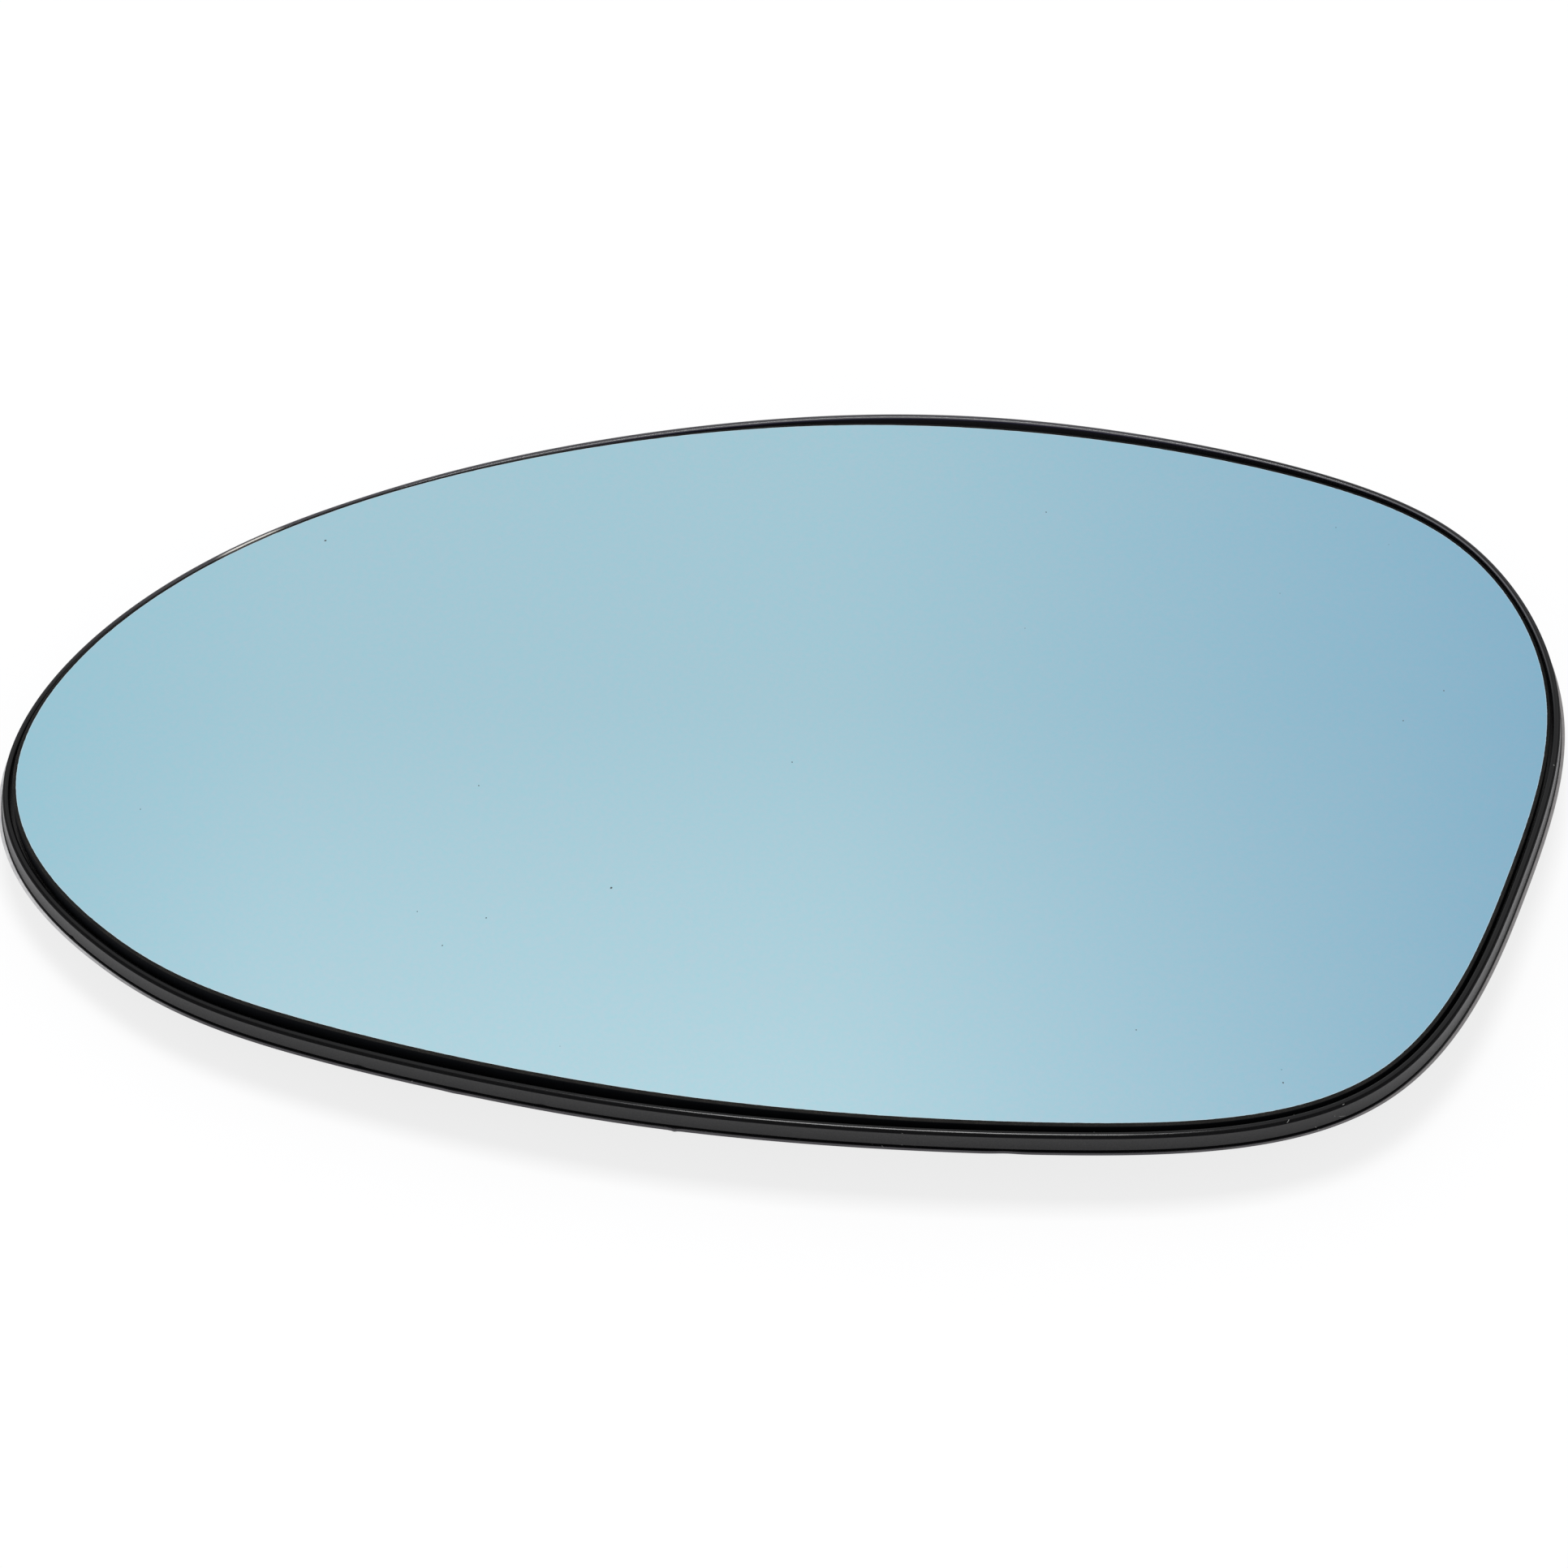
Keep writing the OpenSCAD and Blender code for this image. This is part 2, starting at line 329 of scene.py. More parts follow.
@dataclass
class SweptSection:
    """Corners of a section that is carried round the edge: outward place, depth and datum of each."""

    out: list[float] = field(default_factory=list)
    down: list[float] = field(default_factory=list)
    datum: list[Datum] = field(default_factory=list)
    finish: list[int] = field(default_factory=list)

    def add(self, corners: Sequence[Pair], datum: Datum, finish: int = 0) -> None:
        """Adds corners; the finish is that of the face after each corner."""
        for out, down in corners:
            self.out.append(out)
            self.down.append(down)
            self.datum.append(datum)
            self.finish.append(finish)

    def carried(self, edge: MirrorEdge, heights: MirrorHeights, push: Array,
                lift: Array | float = 0.0) -> Array:
        """Points of the swept section: the edge moved outward, at the datum's height less the depth.

        Args:
            edge: The edge of the mirror face.
            heights: The datum surfaces.
            push: Extra outward distance for each sample and corner.
            lift: Extra height for each sample and corner.

        Returns:
            Array of samples, corners and coordinates.
        """
        out = np.array(self.out) + push
        plan = edge.points[:, None, :] + out[..., None] * edge.outward[:, None, :]
        x, y = plan[..., 0], plan[..., 1]
        z = np.zeros_like(x)
        for kind in Datum:
            picked = np.array([d is kind for d in self.datum])
            z[:, picked] = heights.of(x, y, kind)[:, picked]
        return np.stack([x, y, z - np.array(self.down) + lift], axis=-1)


@dataclass(frozen=True)
class PhotoCamera:
    """The photograph's camera: where it looks, from how high and how far, and its lens in pixels."""

    target: Triple = (0.0, 0.0, 12.8)
    elevation: float = 50.0
    distance: float = 900.0
    focal_px: float = 9938.19
    image_px: float = 1932.0
    sensor: float = 36.0

    def axes(self) -> tuple[Array, Array, Array, Array]:
        """Place of the camera in millimetres, and its right, up and forward directions."""
        e = math.radians(self.elevation)
        forward = np.array([0.0, math.cos(e), -math.sin(e)])
        up = np.array([0.0, math.sin(e), math.cos(e)])
        return np.array(self.target) - self.distance * forward, np.array([1.0, 0.0, 0.0]), up, forward

    def pixels_of(self, points: Array) -> Array:
        """Pixels at which places in millimetres are seen: focal length times side over depth.

        Args:
            points: One row of three coordinates for each place.

        Returns:
            One row of column and row for each place.
        """
        eye, right, up, forward = self.axes()
        away = points - eye
        depth = away @ forward
        sideways = np.stack([away @ right, -(away @ up)], axis=1)
        return self.image_px / 2 + self.focal_px * sideways / depth[:, None]

    def on_dome(self, pixels: Array, top: float, radius: float) -> Array:
        """Where the rays through pixels of the photograph meet a sphere below its top.

        The nearer root of the quadratic of the ray and the sphere is taken.

        Args:
            pixels: One row of column and row for each place.
            top: Height of the sphere's top.
            radius: Its radius.

        Returns:
            One row of three coordinates for each place, in millimetres.
        """
        eye, right, up, forward = self.axes()
        middle = self.image_px / 2
        ray = unit(forward * self.focal_px + right * (pixels[:, :1] - middle)
                   + up * (middle - pixels[:, 1:2]))
        away = eye - np.array([0.0, 0.0, top - radius])
        half = ray @ away
        reach = -half - np.sqrt(half * half - away @ away + radius * radius)
        return eye + ray * reach[:, None]

    def make(self) -> Object:
        """Makes the camera with a long lens and makes it the scene's camera."""
        data = bpy.data.cameras.new("photo_camera")
        data.sensor_width = self.sensor
        data.lens = self.focal_px / self.image_px * self.sensor
        data.clip_start = 0.01
        camera = added("photo_camera", data)
        eye, _, _, forward = self.axes()
        camera.location = Vector((eye * METRES_PER_MM).tolist())
        camera.rotation_euler = Vector(forward.tolist()).to_track_quat("-Z", "Y").to_euler()
        bpy.context.scene.camera = camera
        return camera


@dataclass(frozen=True)
class Wire:
    """An output of a node, on which Python's operators add Math nodes."""

    paint: "Paint"
    socket: NodeSocket

    def math(self, operation: str, *others: "Wire | float") -> "Wire":
        """Adds a Math node on this value and others."""
        return self.paint.out("ShaderNodeMath", dict(enumerate((self, *others))), operation=operation)

    def __add__(self, other: "Wire | float") -> "Wire":
        """Sum."""
        return self.math("ADD", other)

    __radd__ = __add__

    def __mul__(self, other: "Wire | float") -> "Wire":
        """Product."""
        return self.math("MULTIPLY", other)

    __rmul__ = __mul__

    def __sub__(self, other: "Wire | float") -> "Wire":
        """Difference."""
        return self.math("SUBTRACT", other)

    def __rsub__(self, other: float) -> "Wire":
        """Difference from a number."""
        return (self * -1.0).math("ADD", other)

    def clamped(self) -> "Wire":
        """The value held between 0 and 1."""
        return self.math("MAXIMUM", 0.0).math("MINIMUM", 1.0)

    def eased(self) -> "Wire":
        """The value where positive and 0 below, with a soft turn: half of it plus its smoothed size."""
        return (self + (self * self + SOFT_TURN).math("SQRT")) * 0.5

    def ramp(self, low: float, high: float) -> "Wire":
        """A smooth rise from 0 at low to 1 at high."""
        values = {"Value": self, "From Min": low, "From Max": high}
        return self.paint.out("ShaderNodeMapRange", values, interpolation_type="SMOOTHSTEP")


class Paint:
    """Builds the nodes of one material, or of the world."""

    def __init__(self, name: str, surface: str = "ShaderNodeBsdfPrincipled", world: bool = False) -> None:
        """Makes an empty material or world.

        Args:
            name: Its name.
            surface: Type of its last shader node.
            world: Whether it is a world.
        """
        self.owner = (bpy.data.worlds if world else bpy.data.materials).new(name)
        self.owner.use_nodes = True
        self.tree = self.owner.node_tree
        self.tree.nodes.clear()
        output = self.tree.nodes.new("ShaderNodeOutputWorld" if world else "ShaderNodeOutputMaterial")
        self.shader = self.tree.nodes.new(surface)
        self.tree.links.new(self.shader.outputs[0], output.inputs["Surface"])

    def feed(self, node: Node, values: dict[Any, Any]) -> None:
        """Links a node's inputs to Wires, or sets them to plain values.

        Args:
            node: The node.
            values: Inputs by name or number, each a Wire or a plain value.
        """
        for name, value in values.items():
            if isinstance(value, Wire):
                self.tree.links.new(value.socket, node.inputs[name])
            else:
                node.inputs[name].default_value = value

    def out(self, kind: str, values: dict[Any, Any] | None = None, output: Any = 0, **settings: Any) -> Wire:
        """Adds a node, sets its settings and then its inputs, and gives one of its outputs.

        Args:
            kind: Type of the node.
            values: Inputs by name or number, each a Wire or a plain value.
            output: Name or number of the output.
            settings: Settings by name.

        Returns:
            The output.
        """
        node = self.tree.nodes.new(kind)
        for name, value in settings.items():
            setattr(node, name, value)
        self.feed(node, values or {})
        return Wire(self, node.outputs[output])

    def place(self) -> Wire:
        """Object coordinates in metres."""
        return self.out("ShaderNodeTexCoord", output="Object")

    def axis(self, letter: str) -> Wire:
        """One object coordinate in millimetres."""
        return self.out("ShaderNodeSeparateXYZ", {0: self.place()}, letter) * (1.0 / METRES_PER_MM)

    def painted(self, name: str) -> Wire:
        """A value that the mesh carries at its points."""
        return self.out("ShaderNodeAttribute", output="Fac", attribute_name=name)

    def noise(self, per_mm: float, detail: float = 2.0, rough: float = 0.5,
              stretch: Triple = (1.0, 1.0, 1.0)) -> Wire:
        """Noise from 0 to 1 with so many features in a millimetre, stretched along the axes."""
        moved = self.out("ShaderNodeMapping", {"Vector": self.place(), "Scale": stretch})
        values = {"Vector": moved, "Scale": per_mm / METRES_PER_MM, "Detail": detail, "Roughness": rough}
        return self.out("ShaderNodeTexNoise", values, "Fac")

    def mix(self, share: Wire | float, first: Wire | Triple, second: Wire | Triple,
            blend: str = "MIX") -> Wire:
        """A colour between two colours, or their product where the blend is MULTIPLY."""
        first, second = (c if isinstance(c, Wire) else (*c, 1.0) for c in (first, second))
        values = {0: share, MIX_FIRST: first, MIX_SECOND: second}
        return self.out("ShaderNodeMix", values, MIX_RESULT, data_type="RGBA", blend_type=blend)

    def worn(self) -> Wire:
        """A mask that is 1 at the worn place of the upper long edge, and fades at its ends."""
        x = self.axis("X")
        low, high = WORN_ENDS
        along = x.ramp(low - 1.5, low + 1.0) * (1.0 - x.ramp(high - 1.0, high + 1.5))
        return along * self.axis("Y").ramp(20.0, 30.0)

    def bump(self, height: Wire, depth_mm: float, strength: float = 1.0) -> Wire:
        """A normal from a height between 0 and 1."""
        values = {"Height": height, "Distance": depth_mm * METRES_PER_MM, "Strength": strength}
        return self.out("ShaderNodeBump", values)

    def wear(self, **values: Any) -> Material:
        """Feeds the shader, with underscores for the spaces in its inputs' names, and gives the material."""
        self.feed(self.shader, {name.replace("_", " "): value for name, value in values.items()})
        return self.owner


@dataclass(frozen=True)
class MirrorFace:
    """The coated mirror face: blue, with a painted reflection that is paler to the lower edge and deeper to
    the inner end, faintly smeared.
    """

    name: str
    pale: Triple = (0.456, 0.668, 0.748)
    middle: Triple = (0.368, 0.576, 0.664)
    deep: Triple = (0.24, 0.442, 0.586)
    outer: Triple = (0.29, 0.54, 0.65)
    # silver is the colour of the arris's painted highlight
    silver: Triple = (0.86, 0.9, 0.92)
    mottle: tuple[Triple, Triple] = ((0.84, 1.024, 1.012), (1.16, 0.976, 0.988))
    dusty: Triple = (0.5, 0.55, 0.57)
    arris_highlight: float = 0.0

    def made(self) -> Material:
        """Makes the material: an even change of tint by place, which is a painted reflection of the
        surroundings, and roughness from smears and fine dust.
        """
        p = Paint(self.name)
        x, y = p.axis("X"), p.axis("Y")
        # painted reflection: the blue turns paler to the lower edge, deeper to the inner end and another blue
        # at the outer end
        lower = (0.2 - y * 0.018).eased().clamped()
        inner = (x * 0.0122 - 0.06).eased().clamped()
        outer = (x * -0.02 - 1.12).eased().clamped()
        tint = p.mix(outer, p.mix(lower, self.middle, self.pale), self.outer)
        # painted highlight: the arris's copy of this material is mixed towards silver by its share
        tint = p.mix(self.arris_highlight, p.mix(inner, tint, self.deep), self.silver)
        mottle = p.mix(p.noise(1.6, 4.0, 0.7), *self.mottle)
        tint = p.mix(1.0, tint, mottle, "MULTIPLY")
        smear = p.noise(0.05, 4.0, 0.55, (1.0, 2.2, 1.0)).ramp(0.35, 0.75)
        dust = p.noise(5.0, 1.0, 0.5).ramp(0.68, 0.8)
        tint = p.mix(smear * 0.03 + dust * 0.05, tint, self.dusty)
        rough = smear * 0.035 + dust * 0.12 + 0.03
        return p.wear(Base_Color=tint, Metallic=1.0, Roughness=rough)


@dataclass(frozen=True)
class GroundEdge:
    """The glass's ground edge: dull and dark, with pale grit on the lower long edge and a worn place."""

    dark: Triple = (0.014, 0.014, 0.014)
    light: Triple = (0.055, 0.053, 0.05)
    grit: Triple = (0.07, 0.062, 0.052)
    bright: Triple = (0.11, 0.105, 0.1)

    def made(self) -> Material:
        """Makes the material."""
        p = Paint("ground_edge")
        cloud = p.noise(0.6, 3.0, 0.6)
        grit = p.noise(9.0, 2.0, 0.6)
        lower = p.axis("Y").ramp(30.0, -5.0)
        tint = p.mix((cloud * 0.5 + grit * 0.4 - 0.1).clamped() * lower, self.dark, self.light)
        tint = p.mix(grit.ramp(0.52, 0.68) * cloud.ramp(0.35, 0.65) * lower, tint, self.grit)
        tint = p.mix(p.worn() * (grit * 0.6 + 0.5), tint, self.bright)
        return p.wear(Base_Color=tint, Roughness=grit * 0.2 + 0.55, Specular_IOR_Level=0.05,
                      Normal=p.bump(grit, 0.02))


@dataclass(frozen=True)
class BackPaint:
    """The dark protective paint on the back of the glass."""

    dark: Triple = (0.0025, 0.003, 0.004)
    light: Triple = (0.006, 0.0065, 0.008)

    def made(self) -> Material:
        """Makes the material."""
        p = Paint("back_paint")
        cloud = p.noise(0.3, 3.0)
        tint = p.mix(cloud, self.dark, self.light)
        return p.wear(Base_Color=tint, Roughness=cloud * 0.2 + 0.5, Specular_IOR_Level=0.06)


@dataclass(frozen=True)
class CarrierPlastic:
    """Black moulded plastic: fine grain, faint cloudiness, another tint painted as a reflection on the side
    that faces away from the camera, and a skin of gloss that fades down the rim's wall.
    """

    name: str
    rough: float
    gloss: float
    grain_mm: float
    skin: float = 0.0
    pins: tuple[Pair, ...] = ()
    pin_ring_mm: float = 0.12
    worn: Triple | None = None
    black: Triple = (0.0018, 0.0018, 0.002)
    grey: Triple = (0.004, 0.004, 0.0046)
    far_painted_light: Triple = (0.004, 0.004, 0.005)

    def made(self) -> Material:
        """Makes the material: grain, and round marks of the mould's pins at the given places in plan.

        A mark is a low ring where the square of the distance from its middle is near 6 square millimetres.
        """
        p = Paint(self.name)
        cloud = p.noise(0.12, 4.0, 0.6)
        grain = p.noise(7.0, 3.0, 0.6)
        tint = p.mix((cloud * 0.3 + grain.ramp(0.4, 0.64) * 0.7).clamped(), self.black, self.grey)
        # painted reflection: towards the upper long edge, and less so at the inner end, the plastic takes
        # another tint
        far_painted_light = p.axis("Y").ramp(12.0, 42.0) * (1.0 - p.axis("X").ramp(35.0, 60.0) * 0.8)
        tint = p.mix(far_painted_light, tint, self.far_painted_light)
        if self.worn:
            tint = p.mix(p.worn() * (grain * 0.5 + 0.6), tint, self.worn)
        height = grain * self.grain_mm
        for x, y in self.pins:
            away = [p.axis(letter) - at for letter, at in (("X", x), ("Y", y))]
            square = away[0] * away[0] + away[1] * away[1]
            height = height + square.ramp(5.0, 5.8) * (1.0 - square.ramp(6.6, 7.6)) * self.pin_ring_mm
        skin = (1.0 - p.painted("fall") * 0.9) * self.skin
        return p.wear(Base_Color=tint, Roughness=cloud * 0.08 + grain * 0.08 + (self.rough - 0.08),
                      Specular_IOR_Level=self.gloss, Coat_Weight=skin, Coat_Roughness=0.3,
                      Normal=p.bump(height, 1.0, 0.6))


@dataclass(frozen=True)
class LipTop:
    """The lip's inner rounding: polished black, with a painted highlight that makes it greyer along the upper
    long edge, and one worn place.
    """

    black: Triple = (0.003, 0.003, 0.0032)
    grey: Triple = (0.1, 0.1, 0.107)
    rubbed: Triple = (0.8, 0.77, 0.74)

    def made(self) -> Material:
        """Makes the material: the worn place has slanting marks in it."""
        p = Paint("carrier_plastic_lip")
        x, y = p.axis("X"), p.axis("Y")
        far_painted_light = y.ramp(8.0, 34.0) * x.ramp(-78.0, -62.0)
        grain = p.noise(4.0, 3.0, 0.6)
        marks = p.noise(1.4, 2.0, 0.5, (1.0, -0.6, 1.0)).ramp(0.3, 0.6) * 0.5 + 0.5
        # painted highlight: grey along the upper long edge, fading out towards the outer end
        tint = p.mix((far_painted_light * (grain * 0.5 + 0.75)).clamped(), self.black, self.grey)
        tint = p.mix(p.worn() * marks, tint, self.rubbed)
        return p.wear(Base_Color=tint, Roughness=grain * 0.1 + 0.09, Specular_IOR_Level=0.16,
                      Normal=p.bump(grain, 0.005, 0.6))


@dataclass(frozen=True)
class FootReflection:
    """The foot's outer side, with a painted reflection of the floor that is paler towards the two ends."""

    middle: Triple = (0.036, 0.033, 0.038)
    inner_end: Triple = (0.2, 0.19, 0.19)
    outer_end: Triple = (0.5, 0.5, 0.51)

    def made(self) -> Material:
        """Makes the material: a painted reflection, paler beyond about 40 mm either side of the middle, in
        uneven patches.
        """
        p = Paint("carrier_plastic_foot_reflection")
        x = p.axis("X")
        cloud = p.noise(0.9, 4.0, 0.65) * 0.8 + 0.5
        inner = x.ramp(38.0, 88.0)
        outer = (x * -1.0).ramp(62.0, 86.0)
        tint = p.mix((inner * cloud).clamped(), self.middle, self.inner_end)
        tint = p.mix((outer * cloud).clamped(), tint, self.outer_end)
        return p.wear(Base_Color=tint, Roughness=cloud * 0.15 + 0.2, Normal=p.bump(cloud, 0.015, 0.5))


@dataclass(frozen=True)
class HeaterFilm:
    """The heater mat's underside: dark film with printed tracks that show as faint ridges."""

    film: Triple = (0.035, 0.035, 0.04)
    cloudy: Triple = (0.05, 0.05, 0.055)
    track: Triple = (0.12, 0.12, 0.125)
    pitch_mm: float = 3.0

    def made(self) -> Material:
        """Makes the material: parallel tracks along X, where the sine of Y over the pitch is positive."""
        p = Paint("heater_film")
        track = (p.axis("Y") * (2 * math.pi / self.pitch_mm)).math("SINE").ramp(-0.1, 0.1)
        cloud = p.noise(0.5, 3.0)
        tint = p.mix(track, p.mix(cloud, self.film, self.cloudy), self.track)
        return p.wear(Base_Color=tint, Roughness=0.62 - track * 0.2 + cloud * 0.1, Normal=p.bump(track, 0.04))


@dataclass(frozen=True)
class PlainMetal:
    """Dull metal with fine drawing marks along one axis."""

    name: str
    bright: Triple
    dull: Triple
    stretch: Triple = (1.0, 8.0, 1.0)

    def made(self) -> Material:
        """Makes the material."""
        p = Paint(self.name)
        marks = p.noise(3.0, 3.0, 0.6, self.stretch)
        stain = p.noise(0.35, 4.0, 0.6).ramp(0.35, 0.7)
        tint = p.mix((stain * 0.7 + marks * 0.3).clamped(), self.bright, self.dull)
        return p.wear(Base_Color=tint, Metallic=1.0, Roughness=stain * 0.2 + marks * 0.12 + 0.22,
                      Normal=p.bump(marks, 0.008))


@dataclass(frozen=True)
class DustSpeck:
    """Dust, dark on the glass and pale on the rim."""

    name: str
    first: Triple
    second: Triple

    def made(self) -> Material:
        """Makes the material."""
        p = Paint(self.name)
        grit = p.noise(8.0, 2.0)
        return p.wear(Base_Color=p.mix(grit, self.first, self.second), Roughness=0.9)


def placed(name: str, shell: Shell, finishes: Sequence[Material],
           stands_for: Sequence[str] = (), sharp: float = 28.0) -> Object:
    """Puts a shell into the scene as a piece that rides on the root body.

    Args:
        name: Name of the piece.
        shell: Its points and faces.
        finishes: Materials in the order of the shell's finish numbers.
        stands_for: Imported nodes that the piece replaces.
        sharp: Angle in degrees above which an edge is left sharp.

    Returns:
        The object.
    """
    mesh = bpy.data.meshes.new(name)
    mesh.from_pydata((shell.points * METRES_PER_MM).tolist(), [], shell.faces)
    for finish in finishes:
        mesh.materials.append(finish)
    mesh.polygons.foreach_set("material_index", np.asarray(shell.finish, np.int32))
    mesh.polygons.foreach_set("use_smooth", np.ones(len(shell.faces), bool))
    mesh.update()
    mesh.set_sharp_from_angle(angle=math.radians(sharp))
    piece = added(name, mesh)
    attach(piece, "root")
    if stands_for:
        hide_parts(*stands_for)
    log.info("piece %s: %d points, %d faces", name, len(shell.points), len(shell.faces))
    return piece


@dataclass
class MirrorGlass:
    """The convex glass: mirror face, shallow ground bevel, and the painted side and back."""

    sizes: MirrorSizes
    edge: MirrorEdge
    heights: MirrorHeights
    margin: float = 0.3
    arris_w: float = 0.07
    arris_r: float = 0.03
    chip: float = 0.01
    back_ease: float = 0.15
    back_rings: tuple[float, ...] = (0.97, 0.6, 0.02)
    rings: tuple[float, ...] = (0.02, 0.1, 0.2, 0.3, 0.4, 0.5, 0.6, 0.7, 0.8, 0.88, 0.94, 0.975, 0.99)
    seed: int = 11

    def _shrunk(self, shares: Sequence[float], down: float) -> Array:
        """Rings of the edge drawn in towards the collar's axis, at a depth below the dome.

        Each ring is the edge times its share, and its height is the dome's there less the depth.

        Args:
            shares: Share of the way out from the axis for each ring.
            down: Depth below the mirror face.

        Returns:
            Array of samples, rings and coordinates.
        """
        plan = self.edge.points[:, None, :] * np.array(shares)[None, :, None]
        return self.heights.below_dome(plan, down)

    def _chips(self) -> Array:
        """Small uneven grinding of the bevel's inner edge: smoothed seeded noise, in millimetres."""
        noise = np.random.default_rng(self.seed).normal(0.0, 1.0, len(self.edge.points))
        kernel = np.hanning(5)
        rough = np.convolve(np.concatenate([noise[-2:], noise, noise[:2]]), kernel / kernel.sum(), "valid")
        return np.clip(rough, -2.0, 2.0) * self.chip

    def shell(self) -> Shell:
        """The closed glass: rings of the face, the swept edge, rings of the back, and a pole on each side."""
        s = self.sizes
        r = self.arris_r
        section = SweptSection()
        section.add([(-self.margin, 0.0)], Datum.DOME, FACE)
        section.add([(-r - self.arris_w, 0.0)], Datum.DOME, ARRIS)
        section.add([(-r, 0.0), (s.bevel_w * 0.5, s.bevel_d * 0.5 + 0.005)], Datum.DOME, GROUND)
        section.add([(s.bevel_w - 0.05, s.bevel_d - 0.005), (s.bevel_w, s.bevel_d + 0.06),
                     (s.bevel_w, s.glass_t - self.back_ease), (s.bevel_w - self.back_ease, s.glass_t)],
                    Datum.DOME, PAINTED)
        push = np.zeros((len(self.edge.points), len(section.out)))
        push[:, 2] = self._chips()
        swept = section.carried(self.edge, self.heights, push)
        face, back = self._shrunk(self.rings, 0.0), self._shrunk(self.back_rings, s.glass_t)
        grid = np.concatenate([face, swept, back], axis=1)
        finish = [FACE] * len(self.rings) + section.finish + [PAINTED] * 2
        made = grid_shell(grid, True, False, finish)
        rows, columns = grid.shape[:2]
        first = np.arange(rows) * columns
        around = list(zip(first.tolist(), np.roll(first, -1).tolist()))
        pole = len(made.points)
        poles = np.array([[0, 0, s.face_z], [0, 0, s.face_z - s.glass_t]])
        front = [(pole, a, b) for a, b in around]
        rear = [(pole + 1, b + columns - 1, a + columns - 1) for a, b in around]
        return Shell(np.vstack([made.points, poles]), made.faces + front + rear,
                     made.finish + [FACE] * rows + [PAINTED] * rows)

    def build(self) -> Object:
        """Builds and dresses the glass."""
        # The arris's copy of the mirror face carries a painted highlight.
        finishes = [MirrorFace("mirror_face").made(), GroundEdge().made(), BackPaint().made(),
                    MirrorFace("mirror_arris_highlight", arris_highlight=0.24).made()]
        return placed("glass", self.shell(), finishes, ("mirror_glass",))


class Band(Enum):
    """Bands of the rim that a mark of the moulding can be on."""

    WHOLE = "whole rim"
    LIP = "lip"
    LINE = "parting line"
    FOOT = "foot"


